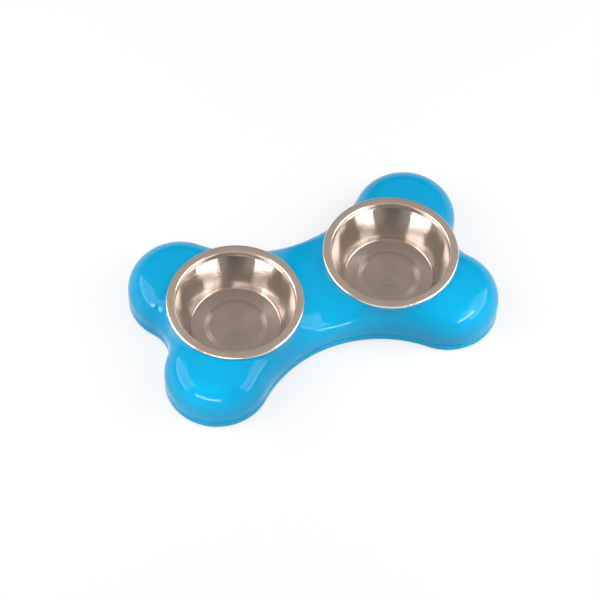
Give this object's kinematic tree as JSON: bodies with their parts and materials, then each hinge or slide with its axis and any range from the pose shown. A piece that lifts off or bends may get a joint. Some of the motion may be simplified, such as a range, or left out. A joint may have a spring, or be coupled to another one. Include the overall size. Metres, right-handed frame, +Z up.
{
  "type": "double pet bowl",
  "caption": "Bone-shaped moulded stand with a closed base pan and rubber feet, holding lift-out stainless-steel bowls for a pet's food and water.",
  "frame": {"origin": "centre of the assembly on the surface that its feet stand on", "axes": "+X along the bone, from the left bowl to the right bowl; +Z up; the front is towards -Y"},
  "size_m": [0.3584, 0.2176, 0.0509],
  "materials": {
    "shell_plastic": "high gloss",
    "base_plastic": "gloss",
    "bowl_steel": "circular brush, polished wall",
    "foot_rubber": "matt",
    "screw_steel": "zinc plated"
  },
  "bodies": {
    "stand": {"top_shell": "shell_plastic", "base_pan": "base_plastic", "foot_front_left": "foot_rubber", "foot_front_right": "foot_rubber", "foot_rear_left": "foot_rubber", "foot_rear_right": "foot_rubber", "base_screws": "screw_steel"},
    "left_bowl": {"bowl_left": "bowl_steel"},
    "right_bowl": {"bowl_right": "bowl_steel"}
  },
  "joints": [
    {"name": "left_bowl_lift", "type": "slide", "parent": "stand", "child": "left_bowl", "axis": [0, 0, 1], "range_m": [0, 0.06]},
    {"name": "right_bowl_lift", "type": "slide", "parent": "stand", "child": "right_bowl", "axis": [0, 0, 1], "range_m": [0, 0.06]}
  ]
}
